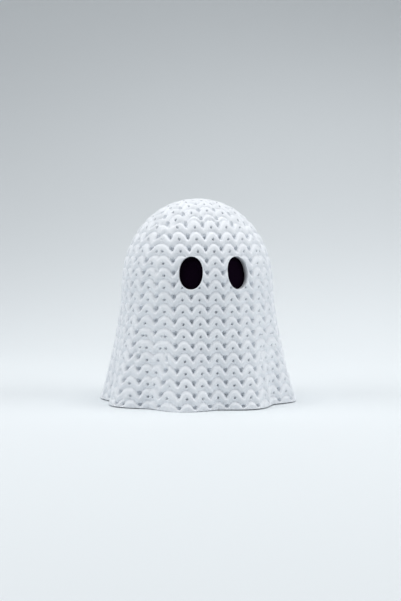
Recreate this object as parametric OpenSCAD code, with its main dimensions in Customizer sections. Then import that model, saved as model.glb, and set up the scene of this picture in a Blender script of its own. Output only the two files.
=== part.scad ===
// Standing ghost figure with a knit-look surface. One hollow white shell with a domed head, a flaring
// skirt and a fluted hem, and two dark eye inserts glued in behind the oval windows of the face.
// Millimetres, +Z up. The origin is the middle of the hem, on the table, and the face looks along -Y.

/* [Body] */
// Height from the table to the crown, without the stitches
body_h = 110; // [100:1:130]
// Radius where the dome meets the skirt
shoulder_r = 41; // [36:0.5:46]
// Height where the dome meets the skirt
shoulder_z = 62; // [50:1:70]
// Mean radius of the hem
hem_r = 50.4; // [46:0.2:58]
// How the skirt curves outwards, where 1 is a straight cone
flare_power = 1.4; // [1:0.05:2]
// Thickness of the shell
wall = 3.6; // [2.4:0.1:5]

/* [Hem folds] */
// Number of folds round the hem
fold_count = 8; // [5:1:12]
// How far a fold stands out from the mean radius at the hem
fold_depth = 3.2; // [0:0.1:4.5]
// Height where the folds fade out
fold_h = 62; // [30:1:80]
// How quickly the folds fade with height
fold_fade = 1.55; // [1:0.05:2.5]
// Share of a sharp crease in the valley between two folds
fold_crease = 0.35; // [0:0.05:0.8]

/* [Stitches] */
// Width of one wale, an upright row of stitches
wale_w = 8.47; // [7:0.01:11]
// Height of one course of stitches
course_h = 6.25; // [5:0.05:9]
// How far the crest of a stitch stands out
crest_height = 0.6; // [0:0.05:0.8]
// Depth of the crease between two courses
crease_depth = 0.7; // [0:0.05:1.2]
// Wall left behind the pocket between two stitches
pocket_floor = 1.2; // [0.8:0.1:3]

/* [Eyes] */
// Width of an eye window
eye_w = 12.3; // [8:0.1:15]
// Height of an eye window
eye_h = 16.9; // [10:0.1:22]
// How full the oval is, where 2 is an ellipse
eye_fullness = 2.15; // [2:0.05:3]
// How far the eyes lean towards each other
eye_lean = 1.6; // [0:0.1:8]
// Height of the middle of the eyes
eye_z = 70.3; // [64:0.1:76]
// Angle from the middle of the face to an eye
eye_angle = 18.3; // [15:0.1:30]

/* [Eye inserts] */
// Width of the flange round the window
flange_w = 2; // [1:0.1:3]
// Thickness of the flange
flange_t = 1.6; // [1:0.1:3]
// How far the plug reaches into the window
plug_h = 0.6; // [0.3:0.1:1.2]
// Clearance round the plug
plug_gap = 0.15; // [0.1:0.05:0.3]
// Film of glue between the flange and the wall
glue_gap = 0.1; // [0.05:0.05:0.3]

/* [Hidden] */

shell_white = [0.87, 0.89, 0.91];
eye_black = [0.03, 0.02, 0.03];

left = -1;
right = 1;

// Meridian length of the dome, a quarter of an ellipse
dome_h = body_h - shoulder_z;
dome_arc = PI / 4 * (3 * (shoulder_r + dome_h)
    - sqrt((3 * shoulder_r + dome_h) * (shoulder_r + 3 * dome_h)));
meridian_end = shoulder_z + dome_arc;

// Four sides carry upright wales, which run out at the corners between the sides
side_count = 4;
side_turn = 360 / side_count;
corner = side_turn / 2;
corner_gap = wale_w / 16;
// Points across a wale: the peak of a stitch, its flanks, and the pocket between two stitches
peak = 0;
flank = 1;
pocket = 2;
wale_kinds = [peak, flank, pocket, flank];
wale_shares = [0, 1 / 3, 1 / 2, 2 / 3];
columns = len(wale_kinds);
// Heights of peak, flank and pocket over the middle of their line, in courses
crest_line = [0.44, 0, -0.34];
crease_line = [0.22, -0.07, -0.2];
pocket_depth = max(crease_depth, wall - pocket_floor);
angle_steps = 8;

// Lines of crests and of creases alternate, two to a course. Up the sides they run round the body, from
// below the hem to the seam of the crown, where the skin faces up as much as sideways. There its distance
// from the middle is this share of its height over the shoulder
seam_share = pow(shoulder_r / dome_h, 2);
first_course = -1;
seam_gap = course_h / 5;
line_count = 1 + floor(2 * ((skin_z(seam_rise(0)) - seam_gap) / course_h - crest_line[peak] - first_course));
corner_seam = atan(dome_h / shoulder_r * cos(corner));
// Over the crown they run from side to side, as far as the seam
crown_reach = ceil(2 * shoulder_r / course_h);
crown_lines = [for (m = [-crown_reach:crown_reach]) if (crown_half(m) > 0) m];
// The relief is shallower on the crown: shares that are left there, and how late the change comes
crown_relief = 0.85;
crown_pockets = 0.5;
crown_ease = 4;

// Rings of the plain inner surface
core_columns = 48;
core_bottom = first_course * course_h;
core_step = 1.25 * course_h;
core_rings = floor((meridian_end - core_bottom) / core_step);
// The blanks run below the hem and are cut off flat there
blank_bottom = 2 * first_course * course_h;
eye_segments = 48;

// Radius and height at a distance up the meridian, for a surface set in from the mean one
function meridian(s, inset) =
    s <= shoulder_z
    ? [shoulder_r - inset + (hem_r - shoulder_r) * pow((shoulder_z - s) / shoulder_z, flare_power), s]
    : let (rise = 90 * (s - shoulder_z) / dome_arc)
        [(shoulder_r - inset) * cos(rise), shoulder_z + (dome_h - inset) * sin(rise)];

// Folds of the hem: a valley under the middle of the face, and sharper valleys than crests
function fold_reach(z) = fold_depth * pow(max(0, 1 - z / fold_h), fold_fade);
function fold_wave(angle) =
    (fold_crease - 1) * cos(fold_count * angle)
    + fold_crease * (2 * abs(sin(fold_count * angle / 2)) - 1);
function fold(angle, z) = fold_reach(z) * fold_wave(angle);

// Point of the skin, at an angle from the middle of the face
function skin(angle, s, inset) =
    let (m = meridian(s, inset), r = m[0] + fold(angle, m[1]))
    [r * sin(angle), -r * cos(angle), m[1]];

// Distance up the meridian of a number of courses in height, and of an angle of rise on the dome
function dome_s(rise) = shoulder_z + dome_arc / 90 * rise;
function course_s(course) =
    let (z = course * course_h)
    z <= shoulder_z ? z : dome_s(asin((z - shoulder_z) / dome_h));
function skin_z(rise) = shoulder_z + dome_h * sin(rise);
// Rise of the crown's seam, at a distance x from the middle of a side
function seam_rise(x) =
    asin(sqrt((1 - pow(x / shoulder_r, 2)) / (1 + seam_share)));

// Height over the middle of its line, in courses, and relief of a point on a line of crests or creases
function line_offset(crest, kind) = (crest ? crest_line : crease_line)[kind];
function line_relief(crest, kind, crown) =
    let (band = 1 + (crown_relief - 1) * crown, hole = 1 + (crown_pockets - 1) * crown)
    crest ? crest_height * band : kind == pocket ? -pocket_depth * hole : -crease_depth * band;

// Columns of points on a side, counted from its middle
function column_kind(j) = wale_kinds[abs(j) % columns];
function column_x(j) = sign(j) * wale_w * (floor(abs(j) / columns) + wale_shares[abs(j) % columns]);
function columns_within(room) = len([for (j = [1:ceil(columns * hem_r / wale_w)]) if (column_x(j) < room) j]);
// Angle of an upright column from the middle of its side, found step by step
function column_angle(x, s, turn, steps = angle_steps, angle = 0) =
    steps == 0 ? angle
    : let (m = meridian(s, 0))
        column_angle(x, s, turn, steps - 1, asin(x / (m[0] + fold(turn + angle, m[1]))));

// Line round the body: its middle in courses, and whether it lies below the seam all the way round
function side_course(k) = first_course + k / 2;
function is_whole(k) =
    course_h * (side_course(k) + line_offset(k % 2 == 0, peak)) < skin_z(corner_seam) - corner_gap;
// Columns that it has room for on each half of a side, up to the corner and the seam
function side_half(k) =
    let (
        m = meridian(course_s(side_course(k) + crest_line[peak]), 0),
        facing_up = seam_share * max(0, m[1] - shoulder_z),
        to_corner = (m[0] - fold_reach(m[1])) * sin(corner),
        to_seam = sqrt(max(0, m[0] * m[0] - facing_up * facing_up)))
    columns_within(min(to_corner, is_whole(k) ? to_corner : to_seam) - corner_gap);
// Its points: each side's columns, then the corner if it gets there
function side_line(k) =
    let (
        crest = k % 2 == 0,
        half = side_half(k),
        rise = (side_course(k) * course_h - shoulder_z) / (skin_z(seam_rise(0)) - shoulder_z),
        crown = pow(max(0, rise), crown_ease))
    [for (side = [0:side_count - 1], j = [-half:half + (is_whole(k) ? 1 : 0)])
        let (
            turn = side * side_turn,
            kind = j > half ? flank : column_kind(j),
            s = course_s(side_course(k) + line_offset(crest, kind)),
            angle = j > half ? corner : column_angle(column_x(j), s, turn))
        skin(turn + angle, s, -line_relief(crest, kind, crown))];
// Line along the seam
seam_half = columns_within(shoulder_r * cos(corner_seam) * sin(corner) - corner_gap);
function seam_line() =
    [for (side = [0:side_count - 1], j = [-seam_half:seam_half + 1])
        let (
            rise = j > seam_half ? corner_seam : seam_rise(column_x(j)),
            angle = j > seam_half ? corner : asin(column_x(j) / (shoulder_r * cos(rise))))
        skin(side * side_turn + angle, dome_s(rise), 0)];

// Point over the crown, on a line counted from the middle one, and whether it lies inside the seam
function crown_xy(m, j) = [column_x(j), course_h * (m / 2 + line_offset(m % 2 != 0, column_kind(j)))];
function in_crown(m, j) =
    let (xy = crown_xy(m, j), r = norm(xy))
    r < shoulder_r
    && max(abs(xy[0]), abs(xy[1])) + seam_gap
        < seam_share * dome_h * sqrt(1 - pow(r / shoulder_r, 2));
// Columns that the line has room for. It ends on flanks, which lie nearest to its middle.
function crown_half(m, j = 0) = in_crown(m, j) ? crown_half(m, j + 1) : j - 1 - j % 2;
function crown_line(m) =
    let (half = crown_half(m))
    [for (j = [-half:half])
        let (xy = crown_xy(m, j))
        skin(atan2(xy[0], -xy[1]), dome_s(acos(norm(xy) / shoulder_r)),
            -line_relief(m % 2 != 0, column_kind(j), 1))];

// Places of the first points of lists that follow one another
function starts(lists, first) =
    [for (i = 0, n = first; i < len(lists); n = n + len(lists[i]), i = i + 1) n];
// Two triangles between columns j and j + 1 of two lines, along the shorter diagonal
function cell(j, a, b, c, d) =
    column_kind(j) < column_kind(j + 1) ? [[a, c, d], [a, d, b]] : [[a, c, b], [b, c, d]];
// Triangles between two rings of points, given as indices, that fill the gap by the points' angles
function zipper(points, outer, inner, i = 0, j = 0) =
    let (
        ni = len(outer),
        nj = len(inner),
        next_i = outer[(i + 1) % ni],
        next_j = inner[(j + 1) % nj],
        ahead = turn_of(points[next_i], i + 1 == ni) <= turn_of(points[next_j], j + 1 == nj))
    i == ni && j == nj ? []
    : j == nj || i < ni && ahead
        ? concat([[outer[i % ni], inner[j % nj], next_i]], zipper(points, outer, inner, i + 1, j))
        : concat([[outer[i % ni], inner[j % nj], next_j]], zipper(points, outer, inner, i, j + 1));
// Angle of a point, counted up from the corner before the face
function turn_of(point, round) =
    let (angle = atan2(point[0], -point[1]))
    angle + (round || angle < -corner ? 360 : 0);

// Outer blank: courses of stitches with a crease between each two and a pocket between neighbours
module stitched_blank() {
    lines = concat([for (k = [0:line_count - 1]) side_line(k)], [seam_line()]);
    halves = concat([for (k = [0:line_count - 1]) side_half(k)], [seam_half]);
    crown = [for (m = crown_lines) crown_line(m)];
    seam = line_count;
    line_starts = starts(lines, 1);
    crown_starts = starts(crown, line_starts[seam] + len(lines[seam]));
    points = concat([[0, 0, blank_bottom]], [for (line = lines) each line], [for (line = crown) each line]);
    widest = max(halves);
    back = len(crown) - 1;
    // Index of a column's point. A column that has run out ends at the corner, or at the seam, or at the end
    // of its line over the crown.
    function on_side(k, side, j) =
        let (half = halves[k], count = len(lines[k]), column = max(-half - 1, min(half + 1, j)))
        k == seam || is_whole(k)
        ? line_starts[k] + (side * (2 * half + 2) + half + column + count) % count
        : abs(j) > half ? on_side(seam, side, j)
        : line_starts[k] + side * (2 * half + 1) + half + j;
    function on_crown(m, j) =
        let (half = (len(crown[m]) - 1) / 2)
        crown_starts[m] + half + max(-half, min(half, j));
    // Rings on both sides of the seam
    outer = [for (i = [0:len(lines[seam]) - 1]) line_starts[seam] + i];
    inner = concat(
        [for (i = [0:len(crown[0]) - 1]) crown_starts[0] + i],
        [for (m = [1:back - 1]) on_crown(m, widest)],
        [for (i = [len(crown[back]) - 1:-1:0]) crown_starts[back] + i],
        [for (m = [back - 1:-1:1]) on_crown(m, -widest)]);
    faces = concat(
        [for (side = [0:side_count - 1], j = [-widest - 1:widest])
            [0, on_side(0, side, j), on_side(0, side, j + 1)]],
        [for (k = [0:seam - 1], side = [0:side_count - 1], j = [-widest - 1:widest])
            each cell(j, on_side(k, side, j), on_side(k, side, j + 1),
                on_side(k + 1, side, j), on_side(k + 1, side, j + 1))],
        zipper(points, outer, inner),
        [for (m = [0:back - 1], j = [-widest:widest - 1])
            each cell(j, on_crown(m, j), on_crown(m, j + 1), on_crown(m + 1, j), on_crown(m + 1, j + 1))]);
    // Columns that have run out leave triangles without an area
    polyhedron(points, [for (f = faces) if (f[0] != f[1] && f[1] != f[2] && f[2] != f[0]) f]);
}

// Plain solid that follows the skin at a constant depth
module core(inset) {
    rings = [for (k = [0:core_rings - 1], i = [0:core_columns - 1])
        skin(360 * i / core_columns, core_bottom + k * core_step, inset)];
    points = concat([[0, 0, blank_bottom]], rings, [[0, 0, body_h - inset]]);
    top = len(points) - 1;
    // Index of a point of a ring
    function at(k, i) = 1 + k * core_columns + i % core_columns;
    polyhedron(points, concat(
        [for (i = [0:core_columns - 1]) [0, at(0, i), at(0, i + 1)]],
        [for (k = [0:core_rings - 2], i = [0:core_columns - 1]) each [
            [at(k, i), at(k + 1, i), at(k, i + 1)],
            [at(k, i + 1), at(k + 1, i), at(k + 1, i + 1)]]],
        [for (i = [0:core_columns - 1]) [top, at(core_rings - 1, i + 1), at(core_rings - 1, i)]]));
}

// Oval bar through the wall at one eye, wider than the window by grow on each side
module eye_bar(side, grow) {
    function full(share) = sign(share) * pow(abs(share), 2 / eye_fullness);
    outline = [for (i = [0:eye_segments - 1])
        let (a = 360 * i / eye_segments)
        [(eye_w / 2 + grow) * full(cos(a)), (eye_h / 2 + grow) * full(sin(a))]];
    rotate([0, 0, side * eye_angle])
        translate([0, -shoulder_r / 2, eye_z])
            rotate([90, 0, 0])
                linear_extrude(height = shoulder_r) rotate(side * eye_lean) polygon(outline);
}

module below_hem() {
    size = 4 * hem_r;
    translate([-size / 2, -size / 2, -size]) cube(size);
}

module knit_shell() {
    color(shell_white)
    difference() {
        stitched_blank();
        core(wall);
        below_hem();
        eye_bar(left, 0);
        eye_bar(right, 0);
    }
}

// Flange that follows the inside of the wall, with a plug that locates in the window
module eye_insert(side) {
    color(eye_black)
    difference() {
        union() {
            intersection() {
                core(wall + glue_gap);
                eye_bar(side, flange_w);
            }
            intersection() {
                core(wall - plug_h);
                eye_bar(side, -plug_gap);
            }
        }
        core(wall + glue_gap + flange_t);
    }
}

module left_eye_insert() {
    eye_insert(left);
}

module right_eye_insert() {
    eye_insert(right);
}

knit_shell();
left_eye_insert();
right_eye_insert();
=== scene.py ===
"""Ghost figure with a knit-look surface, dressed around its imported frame.

The figure is in millimetres in the object's own frame (+Z up, face along -Y) until its meshes are made,
and so is the camera. The stage and its lights are in metres.
"""

import math

import bpy
import numpy as np
from mathutils import Matrix, Vector


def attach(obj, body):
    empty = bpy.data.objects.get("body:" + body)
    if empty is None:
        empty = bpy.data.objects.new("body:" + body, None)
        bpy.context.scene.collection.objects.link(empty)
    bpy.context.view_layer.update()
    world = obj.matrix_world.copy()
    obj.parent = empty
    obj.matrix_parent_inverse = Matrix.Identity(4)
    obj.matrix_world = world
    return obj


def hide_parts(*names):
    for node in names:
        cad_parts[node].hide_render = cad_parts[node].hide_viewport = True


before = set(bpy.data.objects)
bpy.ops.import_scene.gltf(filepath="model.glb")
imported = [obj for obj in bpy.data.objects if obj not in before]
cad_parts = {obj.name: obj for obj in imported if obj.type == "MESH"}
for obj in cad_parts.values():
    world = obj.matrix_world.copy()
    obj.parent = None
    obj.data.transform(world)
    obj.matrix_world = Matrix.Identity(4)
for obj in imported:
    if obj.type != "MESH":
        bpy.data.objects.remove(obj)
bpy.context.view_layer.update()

MM = 0.001
LEFT = -1
RIGHT = 1

# Body, as in the solids
BODY_H = 110.0
SHOULDER_R = 41.0
SHOULDER_Z = 62.0
HEM_R = 50.4
FLARE_POWER = 1.4
WALL = 3.6
DOME_H = BODY_H - SHOULDER_Z
# Length of the meridian from the shoulder to the top, a quarter of an ellipse
DOME_ARC = math.pi / 4 * (
    3 * (SHOULDER_R + DOME_H) - math.sqrt((3 * SHOULDER_R + DOME_H) * (SHOULDER_R + 3 * DOME_H))
)
MERIDIAN_END = SHOULDER_Z + DOME_ARC
# The outside of the head is a little lower, and fuller than an ellipse, which has a fullness of 2
HEAD_TOP = 109.65
HEAD_FULLNESS = 2.06

# Folds of the hem
FOLD_COUNT = 8
FOLD_DEPTH = 3.2
FOLD_H = 62.0
FOLD_FADE = 1.55
FOLD_CREASE = 0.35
# The hem is a little wider from side to side than from front to back
HEM_OVAL = 0.8
# The hem stands on a few places, the first of them at an angle from the middle of the face. Between them
# its gap to the table grows to the one given, and the wall is level again at a height above it
HEM_FEET = 3
HEM_FOOT = math.radians(-27)
HEM_GAP = 0.6
HEM_LEVEL = 5.0
# Rounding of the hem's outer edge
HEM_ROUND = 0.3
HEM_ROUND_STEPS = 5

# Eye windows, and the inserts behind them
EYE_W = 12.3
EYE_H = 16.9
EYE_FULLNESS = 2.15
EYE_LEAN = math.radians(1.6)
EYE_Z = 70.3
EYE_ANGLE = math.radians(18.3)
FLANGE_W = 2.0
FLANGE_T = 1.6
PLUG_H = 0.6
PLUG_GAP = 0.15
GLUE_GAP = 0.1
# Depths of the insert's surfaces below the skin, and the size of its soft edges
INSERT_FRONT = WALL - PLUG_H
FLANGE_FRONT = WALL + GLUE_GAP
INSERT_BACK = FLANGE_FRONT + FLANGE_T
INSERT_EDGE = 0.2
# Shares of an insert's oval at which its front and its back have a ring of points inside their edge
FRONT_SHARES = (0.25, 0.5, 0.75)
BACK_SHARE = 0.5
# Soft edge of a window: how much wider it is, and at which depth below the skin
WINDOW_EDGE = ((1.6, -2.0), (0.45, -0.6), (0.18, -0.2), (0.05, 0.1), (0.0, 0.4))
# How far the tool that cuts a window reaches past the insert
WINDOW_OVERRUN = 2.0

# Stitches: width of a wale, height of a course and height of the lowest pinholes
WALE_W = 8.47
COURSE_H = 6.25
COURSE_START = 0.22
# On the crown the courses are shifted by this share of a course
CROWN_SHIFT = 0.5
# Upper edge of a row of stitches: its rise from the dip between two stitches to the top of an arch, in
# courses above the pinholes, and how blunt the arch is
EDGE_RISE = 0.74
EDGE_BLUNTNESS = 2.6
# Relief of a stitch: how far it stands out, the level that lies on the plain skin, the place of its crest
# between its own upper edge and the next row's, and how much of the height is lost below the crest
BAND_RELIEF = 1.25
BAND_MEAN = 0.68
CREST = 0.36
CREST_DROP = 0.85
# Pocket between two stitches: its middle in courses above the pinholes, how far it reaches to each side, up
# and down, its depth, the share of it that is floor, and how full its upper and its lower part are, where 2
# is an ellipse and 1 is a triangle
POCKET_MIDDLE = 0.33
POCKET_HALF_W = 1.2
POCKET_UP = 1.1
POCKET_DOWN = 2.0
POCKET_DEPTH = 2.5
POCKET_FLOOR = 0.45
POCKET_FULL_UP = 2.0
POCKET_FULL_DOWN = 1.45
# Pinhole in the middle of a stitch, with its rise in courses
PINHOLE_R = 0.51
PINHOLE_RISE = 0.015
PINHOLE_DEPTH = 2.0
PINHOLE_WALL = 0.3
# Plain margins along the hem and round the eye windows, and the height of the skin round the windows
HEM_MARGIN = 2.6
RIM_MARGIN = 1.0
RIM_HEIGHT = 0.1
# How sharply the relief changes over from one projection to the next
SEAM_SHARPNESS = 40
# Towards the crown the relief grows a little and the pockets get shallower: their shares there, and the
# upward parts of the normal between which they change
CROWN_RELIEF = 1.1
CROWN_POCKETS = 0.52
CROWN_FADE = (0.25, 0.8)

# Steps of the tables of distances to a row's edge, and of the search along that edge
TABLE_STEPS = 64
SEARCH_STEPS = 512
# Steps along the meridian and round the axis, in radians, from which normals are taken
NORMAL_STEP = 0.01
NORMAL_TURN = 0.0005
# Least values that keep the distance to an eye window finite in the middle of the eye
LEAST_SHARE = 0.1
LEAST_GROWTH = 0.01

# Mesh density. INNER_COLUMNS divides COLUMNS
COLUMNS = 960
RING_STEP = 0.34
CAP_START = 102.0
INNER_COLUMNS = 160
INNER_STEP = 2.5
EYE_SEGMENTS = 96

# Places of the shell's surfaces in its texture: left, bottom, right and top
MAP_NAME = "OFBake"
MAP_SIDES = (0.005, 0.55, 0.995, 0.995)
MAP_INSIDE = (0.005, 0.275, 0.995, 0.54)
MAP_CROWN = (0.005, 0.005, 0.265, 0.265)
MAP_HEM = (0.275, 0.2, 0.995, 0.265)
MAP_WINDOWS = {LEFT: (0.275, 0.005, 0.63, 0.19), RIGHT: (0.64, 0.005, 0.995, 0.19)}
# An eye insert has a texture of its own
MAP_INSERT = (0.005, 0.005, 0.995, 0.995)

# White shell: a mottle between two tints, each at its place along the noise, which also varies the
# roughness, and a fine grain. The scales count per metre
SHELL_TINTS = ((0.3, (0.76, 0.79, 0.83)), (0.7, (0.80, 0.83, 0.865)))
SHELL_ROUGHNESS = (0.55, 0.72)
SHELL_MOTTLE_SCALE = 90
SHELL_MOTTLE_DETAIL = 4
SHELL_GRAIN_SCALE = 2600
SHELL_GRAIN = 0.12
# Black eyes, with a fine grain
EYE_TINTS = ((0.0, (0.0025, 0.0004, 0.0035)), (1.0, (0.0045, 0.0008, 0.006)))
EYE_ROUGHNESS = 0.85
EYE_SPECULAR = 0.03
EYE_GRAIN_SCALE = 1800
EYE_GRAIN = 0.1
# Detail of a grain, and its depth in metres
GRAIN_DETAIL = 2
GRAIN_DEPTH = 0.0001

# Camera: the photograph's angle, the height of the point that it looks at and how far to the right that
# point lies, its distance from there, and its lens
VIEW_AZIMUTH = math.radians(-13.67)
VIEW_ELEVATION = math.radians(2.58)
VIEW_HEIGHT = 54.45
VIEW_SHIFT_RIGHT = 1.76
VIEW_DISTANCE = 670.9
LENS = 73.45
SENSOR = 36.0

# Stage, turned with the camera: a floor that sweeps up behind the figure
STAGE_TURN = Matrix.Rotation(VIEW_AZIMUTH, 3, "Z")
FLOOR_FRONT = -1.6
FLOOR_HALF_W = 2.4
SWEEP_START = 0.3
SWEEP_R = 1.2
SWEEP_STEPS = 48
BACKDROP_H = 2.4
BACKDROP_COLOUR = (0.757, 0.797, 0.820, 1)
BACKDROP_ROUGHNESS = 0.9
WORLD_COLOUR = (0.93, 0.96, 1.0, 1)
WORLD_STRENGTH = 0.25
# Lights, turned with the camera: name, place, the point that it shines at, size, power in watts and spread
# in degrees
FIGURE_MIDDLE = (0.0, 0.0, 0.05)
LIGHTS = (
    ("top_light", (0.0, -0.05, 1.0), FIGURE_MIDDLE, (0.8, 0.8), 6.4, 180),
    ("left_light", (-0.85, -0.25, 0.55), FIGURE_MIDDLE, (0.9, 0.7), 3.9, 180),
    ("right_light", (0.85, -0.25, 0.55), FIGURE_MIDDLE, (0.9, 0.7), 4.25, 180),
    ("floor_light", (0.2, 0.4, 0.7), (0.2, 0.4, 0.0), (0.8, 0.3), 0.26, 80),
    ("backdrop_light", (0.3, 0.8, 0.7), (0.3, 0.9, 0.1), (0.8, 0.3), 0.18, 100),
)


# Skin and stitches


def smoothstep(low, high, x):
    """0 at low, 1 at high, with a smooth ramp between."""
    t = np.clip((x - low) / (high - low), 0, 1)
    return t * t * (3 - 2 * t)


def meridian(s, inset=0.0):
    """Radius and height at a distance up the meridian, for a surface set in from the skin."""
    skirt = np.clip((SHOULDER_Z - s) / SHOULDER_Z, 0, None)
    rise = np.clip((s - SHOULDER_Z) / DOME_ARC, 0, 1) * math.pi / 2
    below = s <= SHOULDER_Z
    dome_h, power = (DOME_H - inset, 1) if inset else (HEAD_TOP - SHOULDER_Z, 2 / HEAD_FULLNESS)
    r = np.where(
        below,
        SHOULDER_R - inset + (HEM_R - SHOULDER_R) * skirt**FLARE_POWER,
        (SHOULDER_R - inset) * np.cos(rise) ** power,
    )
    z = np.where(below, s, SHOULDER_Z + dome_h * np.sin(rise) ** power)
    return r, z


def fold(angle, z):
    """How far the folds and the oval of the hem move the skin outwards."""
    round_wave = -np.cos(FOLD_COUNT * angle)
    creased_wave = 2 * np.abs(np.sin(FOLD_COUNT * angle / 2)) - 1
    wave = (1 - FOLD_CREASE) * round_wave + FOLD_CREASE * creased_wave
    fade = np.clip(1 - z / FOLD_H, 0, None) ** FOLD_FADE
    return (FOLD_DEPTH * wave - HEM_OVAL * np.cos(2 * angle)) * fade


def skin(angle, s, inset=0.0):
    """Points of the plain skin. The angle runs from the middle of the face."""
    r, z = meridian(s, inset)
    r = r + fold(angle, z)
    return np.stack([r * np.sin(angle), -r * np.cos(angle), z], -1)


def skin_normal(angle, s):
    """Outward normals of the plain skin."""
    s = np.minimum(s, MERIDIAN_END - 2 * NORMAL_STEP)
    along = skin(angle, s + NORMAL_STEP) - skin(angle, s - NORMAL_STEP)
    across = skin(angle + NORMAL_TURN, s) - skin(angle - NORMAL_TURN, s)
    n = np.cross(across, along)
    return n / np.linalg.norm(n, axis=-1, keepdims=True)


def row_edge(u):
    """Upper edge of a row of stitches, in courses above its pinholes."""
    u = u - np.round(u)
    return EDGE_RISE * (1 - np.abs(2 * u) ** EDGE_BLUNTNESS)


def edge_distance(rows_down):
    """Table of the distance to a row's upper edge, or to that of a lower row.

    Its sides are the place across a wale and the share of a course below the row's own edge."""
    u = np.linspace(-0.5, 0.5, TABLE_STEPS + 1)[:, None, None]
    below = np.linspace(0, 1, TABLE_STEPS + 1)[None, :, None]
    along = np.linspace(-1, 1, SEARCH_STEPS + 1)
    up = row_edge(u) - below - row_edge(along) + rows_down
    return np.hypot((u - along) * WALE_W, up * COURSE_H).min(-1)


def lookup(table, x, y):
    """Values between the entries of a square table, with both places counted from 0 to 1."""
    steps = len(table) - 1
    i = np.clip((x * steps).astype(int), 0, steps - 1)
    j = np.clip((y * steps).astype(int), 0, steps - 1)
    across, up = x * steps - i, y * steps - j
    low = table[i, j] * (1 - across) + table[i + 1, j] * across
    high = table[i, j + 1] * (1 - across) + table[i + 1, j + 1] * across
    return low * (1 - up) + high * up


OWN_EDGE = edge_distance(0)
NEXT_EDGE = edge_distance(1)


def band_height(u, v):
    """Height of the rows of stitches. u counts wales from the nearest pinhole, and v counts courses."""
    below = np.mod(row_edge(u) - v, 1)
    own, other = lookup(OWN_EDGE, u + 0.5, below), lookup(NEXT_EDGE, u + 0.5, below)
    place = own / (own + other)
    drop = np.clip((place - CREST) / (1 - CREST), 0, 1) ** 2
    band = smoothstep(0, CREST, place) * (1 - CREST_DROP * drop)
    return BAND_RELIEF * (band - BAND_MEAN)


def pocket_share(u, v):
    """1 on the floor of a pocket between two stitches, 0 outside it."""
    above = v - POCKET_MIDDLE
    above = (above - np.round(above)) * COURSE_H
    across = (0.5 - np.abs(u)) * WALE_W / POCKET_HALF_W
    rise = np.where(above > 0, above / POCKET_UP, -above / POCKET_DOWN)
    full = np.where(above > 0, POCKET_FULL_UP, POCKET_FULL_DOWN)
    out = (across**full + rise**full) ** (1 / full)
    return 1 - smoothstep(POCKET_FLOOR, 1, out)


def pinhole_share(u, v):
    """1 in a pinhole, 0 outside it."""
    above = v - PINHOLE_RISE
    out = np.hypot(u * WALE_W, (above - np.round(above)) * COURSE_H)
    return 1 - smoothstep(PINHOLE_R - PINHOLE_WALL / 2, PINHOLE_R + PINHOLE_WALL / 2, out)


def stitch_height(u, v, pocket_depth):
    """Height of the relief in one projection. u counts wales and v courses, both whole at a pinhole."""
    u = u - np.round(u)
    return band_height(u, v) - pocket_depth * pocket_share(u, v) - PINHOLE_DEPTH * pinhole_share(u, v)


def eye_distance(side, points):
    """Distance out from the outline of one eye window, seen along the eye's own axis."""
    turn, lean = side * EYE_ANGLE, side * EYE_LEAN
    x, y, z = (points[..., i] for i in range(3))
    right, over = x * math.cos(turn) + y * math.sin(turn), z - EYE_Z
    across = np.abs(right * math.cos(lean) + over * math.sin(lean)) / (EYE_W / 2)
    up = np.abs(over * math.cos(lean) - right * math.sin(lean)) / (EYE_H / 2)
    share = (across**EYE_FULLNESS + up**EYE_FULLNESS) ** (1 / EYE_FULLNESS)
    share = np.maximum(share, LEAST_SHARE)
    slope = EYE_FULLNESS - 1
    growth = np.hypot((across / share) ** slope / (EYE_W / 2), (up / share) ** slope / (EYE_H / 2))
    in_front = x * math.sin(turn) - y * math.cos(turn) > 0
    return np.where(in_front, (share - 1) / np.maximum(growth, LEAST_GROWTH), RIM_MARGIN)


def relief(points, normals):
    """Relief on points of the skin, projected along the axis that each normal is nearest to."""
    x, y, z = (points[..., i] for i in range(3))
    weight = np.abs(normals) ** SEAM_SHARPNESS
    weight /= weight.sum(-1, keepdims=True)
    crown = smoothstep(*CROWN_FADE, normals[..., 2])
    pockets = POCKET_DEPTH * (1 + (CROWN_POCKETS - 1) * crown)
    course = (z - COURSE_START) / COURSE_H
    from_side = stitch_height(y / WALE_W, course, pockets)
    from_front = stitch_height(x / WALE_W, course, pockets)
    from_top = stitch_height(x / WALE_W, y / COURSE_H + CROWN_SHIFT, pockets)
    height = weight[..., 0] * from_side + weight[..., 1] * from_front + weight[..., 2] * from_top
    height *= (1 + (CROWN_RELIEF - 1) * crown) * smoothstep(0, HEM_MARGIN, z)
    for side in (LEFT, RIGHT):
        rim = 1 - smoothstep(0, RIM_MARGIN, eye_distance(side, points))
        height += (RIM_HEIGHT - height) * rim
    return height


def knitted(angle, s):
    """Points of the skin with its relief."""
    base = skin(angle, s)
    normals = skin_normal(angle, s)
    return base + normals * relief(base, normals)[..., None]


def hem_lift(angle, s):
    """How far the uneven hem lifts the wall."""
    gap = HEM_GAP * np.abs(np.sin(HEM_FEET / 2 * (angle - HEM_FOOT)))
    return gap * (1 - smoothstep(0, HEM_LEVEL, s))


# Meshes


def new_mesh(name, points, faces, corners):
    """Object with smooth faces, from points in millimetres and faces as lists of indices.

    corners holds the place of each corner of each face in the texture."""
    mesh = bpy.data.meshes.new(name)
    mesh.from_pydata((points * MM).tolist(), [], faces)
    mesh.shade_smooth()
    mesh.uv_layers.new(name=MAP_NAME).data.foreach_set("uv", corners.ravel())
    obj = bpy.data.objects.new(name, mesh)
    bpy.context.scene.collection.objects.link(obj)
    return obj


def ring_faces(low, high):
    """Faces between closed rings of indices and the rings above them, as seen from outside."""
    return np.stack([low, np.roll(low, -1, 1), np.roll(high, -1, 1), high], -1).reshape(-1, 4)


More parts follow.
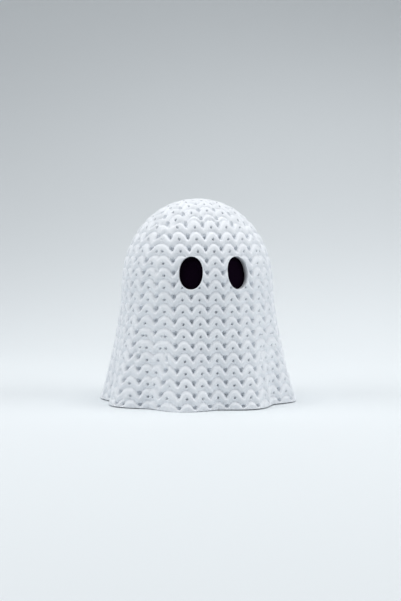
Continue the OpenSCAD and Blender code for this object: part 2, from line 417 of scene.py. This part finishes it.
def fan(ring, tip):
    """Triangles between a closed ring of indices and a point above it, as seen from outside."""
    return np.stack([ring, np.roll(ring, -1), np.full_like(ring, tip)], -1)


def on_map(patch, across, up):
    """Places in a patch of the texture, from shares of its width and height."""
    left, bottom, right, top = patch
    return np.stack([left + (right - left) * across, bottom + (top - bottom) * up], -1)


def strip_map(patch, rows, columns):
    """Places of the corners of the quads between rings, by row, quad and corner."""
    row, column = (np.arange(n)[..., None] for n in (rows, columns))
    across = (column + np.array([0, 1, 1, 0])) / columns
    up = (row + np.array([0, 0, 1, 1])) / rows
    return on_map(patch, *np.broadcast_arrays(across[None], up[:, None]))


def cap_grid(rim, first):
    """Square grid laid over a disc. rim holds the indices of the outer ring.

    Returns each inner point's share of the way out and its angle, then the faces and the places of their
    corners in the texture."""
    # A square ring has 8 steps for each step that it lies from the middle
    half = len(rim) // 8
    i, j = np.meshgrid(np.arange(-half, half + 1), np.arange(-half, half + 1), indexing="ij")
    ring = np.maximum(np.abs(i), np.abs(j))
    # Place along the square ring, counted from the middle of the side that faces -Y
    place = np.select(
        [(j == -ring), (i == ring), (j == ring)],
        [i, 2 * ring + j, 4 * ring - i],
        6 * ring - j,
    )
    around = np.maximum(8 * ring, 1)
    place = np.mod(place, around)
    angle = 2 * math.pi * place / around
    index = np.empty(ring.shape, int)
    inner = ring < half
    index[inner] = first + np.arange(inner.sum())
    index[~inner] = rim[place[~inner]]
    near, far = slice(0, -1), slice(1, None)
    cells = [(near, near), (far, near), (far, far), (near, far)]
    faces = np.stack([index[cell] for cell in cells], -1).reshape(-1, 4)
    places = on_map(MAP_CROWN, (i / half + 1) / 2, (j / half + 1) / 2)
    corners = np.stack([places[cell] for cell in cells], 2).reshape(-1, 2)
    return ring[inner] / half, angle[inner], faces, corners


# Shell


def outside_points():
    """Rings of points of the knitted outside, from the rounded edge of the hem to the crown."""
    angles = 2 * math.pi * np.arange(COLUMNS) / COLUMNS
    turn = np.linspace(0, math.pi / 2, HEM_ROUND_STEPS, endpoint=False)
    edge_levels = HEM_ROUND * (1 - np.cos(turn))
    edge_inset = HEM_ROUND * (1 - np.sin(turn))
    ring_count = round((CAP_START - HEM_ROUND) / RING_STEP) + 1
    levels = np.concatenate([edge_levels, np.linspace(HEM_ROUND, CAP_START, ring_count)])
    angle, s = np.meshgrid(angles, levels)
    points = knitted(angle, s)
    outward = np.stack([np.sin(angles), -np.cos(angles)], -1)
    points[:HEM_ROUND_STEPS, :, :2] -= edge_inset[:, None, None] * outward
    points[:HEM_ROUND_STEPS, :, 2] = edge_levels[:, None]
    points[..., 2] += hem_lift(angle, s)
    return points


def inside_points():
    """Rings of points of the plain inside, from the hem to the last one below the top."""
    angles = 2 * math.pi * np.arange(INNER_COLUMNS) / INNER_COLUMNS
    levels = np.linspace(0, MERIDIAN_END, round(MERIDIAN_END / INNER_STEP) + 1)[:-1]
    angle, s = np.meshgrid(angles, levels)
    points = skin(angle, s, WALL)
    points[..., 2] += hem_lift(angle, s)
    return points


def hem_faces(outer, inner):
    """Triangles of the hem between two rings of indices, and the places of their corners in the texture.

    Each step of the inner ring spans several steps of the outer one."""
    per_step = COLUMNS // INNER_COLUMNS
    step = np.arange(COLUMNS)
    second_half = step % per_step >= per_step // 2
    near = np.where(second_half, np.repeat(np.roll(inner, -1), per_step), np.repeat(inner, per_step))
    on_outer = np.stack([np.roll(outer, -1), outer, near], -1)
    across = np.stack([step + 1, step, (step // per_step + second_half) * per_step], -1) / COLUMNS
    outer_corners = on_map(MAP_HEM, across, np.broadcast_to([0, 0, 1], across.shape))
    on_inner = np.stack([inner, np.roll(inner, -1), outer[per_step // 2 :: per_step]], -1)
    across = (np.arange(INNER_COLUMNS)[:, None] + np.array([0, 1, 0.5])) / INNER_COLUMNS
    inner_corners = on_map(MAP_HEM, across, np.broadcast_to([1, 1, 0], across.shape))
    corners = np.concatenate([outer_corners, inner_corners])
    return np.concatenate([on_outer, on_inner]), corners.reshape(-1, 2)


def knit_shell_mesh():
    """Closed shell: its points, its faces and the places of their corners in the texture."""
    outside, inside = outside_points(), inside_points()
    rings = np.arange(outside[..., 0].size).reshape(-1, COLUMNS)
    share, angle, crown_faces, crown_corners = cap_grid(rings[-1], rings.size)
    crown = knitted(angle, MERIDIAN_END - share * (MERIDIAN_END - CAP_START))
    inner_rings = rings.size + len(crown) + np.arange(inside[..., 0].size).reshape(-1, INNER_COLUMNS)
    inner_top = np.array([[0, 0, BODY_H - WALL]])
    points = np.concatenate([outside.reshape(-1, 3), crown, inside.reshape(-1, 3), inner_top])
    # The inside is seen from within, so its faces and their corners run the other way
    sides = ring_faces(rings[:-1], rings[1:])
    walls = ring_faces(inner_rings[1:], inner_rings[:-1])
    ceiling = fan(inner_rings[-1], len(points) - 1)[:, [1, 0, 2]]
    hem, hem_corners = hem_faces(rings[0], inner_rings[0])
    faces = np.concatenate([sides, crown_faces, walls]).tolist() + np.concatenate([ceiling, hem]).tolist()
    side_map = strip_map(MAP_SIDES, len(rings) - 1, COLUMNS)
    inner_map = strip_map(MAP_INSIDE, len(inner_rings), INNER_COLUMNS)
    corners = [
        side_map.reshape(-1, 2),
        crown_corners,
        inner_map[:-1, :, [3, 2, 1, 0]].reshape(-1, 2),
        inner_map[-1][:, [1, 0, 3]].reshape(-1, 2),
        hem_corners,
    ]
    return points, faces, np.concatenate(corners)


# Eyes


def eye_point(side, across, up, inset):
    """Points of a surface inset from the plain body, seen along the eye's own axis."""
    z = EYE_Z + up
    above = np.clip((z - SHOULDER_Z) / (DOME_H - inset), 0, 1)
    skirt = np.clip((SHOULDER_Z - z) / SHOULDER_Z, 0, None)
    r = (SHOULDER_R - inset) * np.sqrt(1 - above**2) + (HEM_R - SHOULDER_R) * skirt**FLARE_POWER
    out = np.sqrt(r * r - across * across)
    turn = side * EYE_ANGLE
    x = out * math.sin(turn) + across * math.cos(turn)
    y = -out * math.cos(turn) + across * math.sin(turn)
    return np.stack([x, y, z], -1)


def eye_loft(name, side, sections, patch):
    """Closed solid round one eye's axis. A section is (share of the oval, growth in mm, inset in mm)."""
    alpha = 2 * math.pi * np.arange(EYE_SEGMENTS) / EYE_SEGMENTS
    oval = [np.sign(part) * np.abs(part) ** (2 / EYE_FULLNESS) for part in (np.cos(alpha), np.sin(alpha))]
    lean = side * EYE_LEAN
    points = []
    for share, grow, inset in sections:
        right, over = (share * EYE_W / 2 + grow) * oval[0], (share * EYE_H / 2 + grow) * oval[1]
        across = right * math.cos(lean) - over * math.sin(lean)
        up = right * math.sin(lean) + over * math.cos(lean)
        points.append(eye_point(side, across, up, inset))
    middle = np.zeros(1)
    points += [eye_point(side, middle, middle, inset) for _, _, inset in (sections[0], sections[-1])]
    rings = np.arange(len(sections) * EYE_SEGMENTS).reshape(-1, EYE_SEGMENTS)
    front, back = rings.size, rings.size + 1
    faces = ring_faces(rings[1:], rings[:-1]).tolist()
    faces += fan(rings[0], front).tolist()
    faces += fan(rings[-1], back)[:, [1, 0, 2]].tolist()
    strip = strip_map(patch, len(rings) + 1, EYE_SEGMENTS)
    corners = [strip[1:-1, :, [3, 2, 1, 0]], strip[0][:, [3, 2, 0]], strip[-1][:, [1, 0, 3]]]
    return new_mesh(name, np.concatenate(points), faces, np.concatenate([c.ravel() for c in corners]))


def window_tool(side):
    """Solid that cuts one eye window, wider at the skin for a soft edge."""
    sections = [(1, grow, inset) for grow, inset in WINDOW_EDGE]
    sections.append((1, 0, INSERT_BACK + WINDOW_OVERRUN))
    return eye_loft("eye_window_tool", side, sections, MAP_WINDOWS[side])


def eye_insert(name, side):
    """Insert with a plug in its window and a flange behind the wall, all with soft edges."""
    sections = [(share, -PLUG_GAP - INSERT_EDGE, INSERT_FRONT) for share in (*FRONT_SHARES, 1)]
    sections += [
        (1, -PLUG_GAP, INSERT_FRONT + INSERT_EDGE),
        (1, -PLUG_GAP, FLANGE_FRONT),
        (1, FLANGE_W - INSERT_EDGE, FLANGE_FRONT),
        (1, FLANGE_W, FLANGE_FRONT + INSERT_EDGE),
        (1, FLANGE_W, INSERT_BACK - INSERT_EDGE),
        (1, FLANGE_W - INSERT_EDGE, INSERT_BACK),
        (BACK_SHARE, BACK_SHARE * FLANGE_W, INSERT_BACK),
    ]
    return eye_loft(name, side, sections, MAP_INSERT)


def cut(obj, tool):
    """Takes tool away from obj and deletes it."""
    modifier = obj.modifiers.new("cut", "BOOLEAN")
    modifier.operation = "DIFFERENCE"
    modifier.solver = "MANIFOLD"
    modifier.object = tool
    depsgraph = bpy.context.evaluated_depsgraph_get()
    mesh = bpy.data.meshes.new_from_object(obj.evaluated_get(depsgraph))
    obj.modifiers.clear()
    obj.data = mesh
    bpy.data.objects.remove(tool)


# Materials


def node_material(name):
    """New material with its node tree and its Principled shader."""
    material = bpy.data.materials.new(name)
    material.use_nodes = True
    tree = material.node_tree
    return material, tree, tree.nodes["Principled BSDF"]


def noise(tree, scale, detail):
    """Output of a noise laid over the object's own coordinates."""
    place = tree.nodes.new("ShaderNodeTexCoord")
    texture = tree.nodes.new("ShaderNodeTexNoise")
    texture.inputs["Scale"].default_value = scale
    texture.inputs["Detail"].default_value = detail
    tree.links.new(place.outputs["Object"], texture.inputs["Vector"])
    return texture.outputs["Fac"]


def add_tints(tree, shader, value, tints):
    """Colours the shader between two tints, each at its place along the value."""
    ramp = tree.nodes.new("ShaderNodeValToRGB")
    for element, (place, colour) in zip(ramp.color_ramp.elements, tints):
        element.position = place
        element.color = (*colour, 1)
    tree.links.new(value, ramp.inputs["Fac"])
    tree.links.new(ramp.outputs["Color"], shader.inputs["Base Color"])


def add_grain(tree, shader, value, strength):
    """Roughens the shader's surface by the value."""
    bump = tree.nodes.new("ShaderNodeBump")
    bump.inputs["Strength"].default_value = strength
    bump.inputs["Distance"].default_value = GRAIN_DEPTH
    tree.links.new(value, bump.inputs["Height"])
    tree.links.new(bump.outputs["Normal"], shader.inputs["Normal"])


def white_shell_material():
    """Matt cool white plastic with a faint mottle and a fine grain."""
    material, tree, shader = node_material("white_shell")
    mottle = noise(tree, SHELL_MOTTLE_SCALE, SHELL_MOTTLE_DETAIL)
    add_tints(tree, shader, mottle, SHELL_TINTS)
    roughness = tree.nodes.new("ShaderNodeMapRange")
    for end, value in zip(("To Min", "To Max"), SHELL_ROUGHNESS):
        roughness.inputs[end].default_value = value
    tree.links.new(mottle, roughness.inputs["Value"])
    tree.links.new(roughness.outputs["Result"], shader.inputs["Roughness"])
    add_grain(tree, shader, noise(tree, SHELL_GRAIN_SCALE, GRAIN_DETAIL), SHELL_GRAIN)
    return material


def black_eye_material():
    """Matt black with a fine grain."""
    material, tree, shader = node_material("black_eye")
    shader.inputs["Roughness"].default_value = EYE_ROUGHNESS
    shader.inputs["Specular IOR Level"].default_value = EYE_SPECULAR
    grain = noise(tree, EYE_GRAIN_SCALE, GRAIN_DETAIL)
    add_tints(tree, shader, grain, EYE_TINTS)
    add_grain(tree, shader, grain, EYE_GRAIN)
    return material


# Figure


def make_shell():
    """The shell with its two eye windows."""
    shell = new_mesh("knit_shell_surface", *knit_shell_mesh())
    for side in (LEFT, RIGHT):
        cut(shell, window_tool(side))
    shell.data.materials.clear()
    shell.data.materials.append(white_shell_material())
    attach(shell, "root")
    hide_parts("knit_shell")


def make_eyes():
    """The two inserts behind the windows."""
    black = black_eye_material()
    for name, side in (("left_eye", LEFT), ("right_eye", RIGHT)):
        insert = eye_insert(name + "_piece", side)
        insert.data.materials.append(black)
        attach(insert, "root")
        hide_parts(name + "_insert")


# Camera, stage and light


def make_camera():
    """Camera at the photograph's angle."""
    toward = Vector(
        (
            math.sin(VIEW_AZIMUTH) * math.cos(VIEW_ELEVATION),
            -math.cos(VIEW_AZIMUTH) * math.cos(VIEW_ELEVATION),
            math.sin(VIEW_ELEVATION),
        )
    )
    right = Vector((math.cos(VIEW_AZIMUTH), math.sin(VIEW_AZIMUTH), 0))
    target = right * VIEW_SHIFT_RIGHT + Vector((0, 0, VIEW_HEIGHT))
    data = bpy.data.cameras.new("camera")
    data.lens = LENS
    data.sensor_width = SENSOR
    camera = bpy.data.objects.new("camera", data)
    camera.location = (target + toward * VIEW_DISTANCE) * MM
    camera.rotation_euler = toward.to_track_quat("Z", "Y").to_euler()
    bpy.context.scene.collection.objects.link(camera)
    bpy.context.scene.camera = camera


def make_backdrop():
    """Pale floor that sweeps up into a backdrop."""
    profile = [(FLOOR_FRONT, 0.0), (SWEEP_START, 0.0)]
    for k in range(1, SWEEP_STEPS + 1):
        a = math.pi / 2 * k / SWEEP_STEPS
        profile.append((SWEEP_START + SWEEP_R * math.sin(a), SWEEP_R * (1 - math.cos(a))))
    profile.append((SWEEP_START + SWEEP_R, BACKDROP_H))
    points = [STAGE_TURN @ Vector((x, y, z)) for y, z in profile for x in (-FLOOR_HALF_W, FLOOR_HALF_W)]
    faces = [(2 * k, 2 * k + 1, 2 * k + 3, 2 * k + 2) for k in range(len(profile) - 1)]
    mesh = bpy.data.meshes.new("backdrop")
    mesh.from_pydata(points, [], faces)
    mesh.shade_smooth()
    floor = bpy.data.objects.new("backdrop", mesh)
    bpy.context.scene.collection.objects.link(floor)
    material, _, shader = node_material("backdrop_paper")
    shader.inputs["Base Color"].default_value = BACKDROP_COLOUR
    shader.inputs["Roughness"].default_value = BACKDROP_ROUGHNESS
    floor.data.materials.append(material)


def area_light(name, place, target, size, power, spread):
    """Soft rectangular light at a place on the stage, turned towards another."""
    data = bpy.data.lights.new(name, "AREA")
    data.shape = "RECTANGLE"
    data.size, data.size_y = size
    data.energy = power
    data.spread = math.radians(spread)
    light = bpy.data.objects.new(name, data)
    light.location = STAGE_TURN @ Vector(place)
    back = light.location - STAGE_TURN @ Vector(target)
    light.rotation_euler = back.to_track_quat("Z", "Y").to_euler()
    bpy.context.scene.collection.objects.link(light)


def make_light():
    """Soft light from above, from both sides and onto the backdrop, in a dim world."""
    for light in LIGHTS:
        area_light(*light)
    world = bpy.data.worlds.new("world")
    world.use_nodes = True
    background = world.node_tree.nodes["Background"]
    background.inputs["Color"].default_value = WORLD_COLOUR
    background.inputs["Strength"].default_value = WORLD_STRENGTH
    bpy.context.scene.world = world
    bpy.context.scene.view_settings.view_transform = "Standard"


make_shell()
make_eyes()
make_camera()
make_backdrop()
make_light()
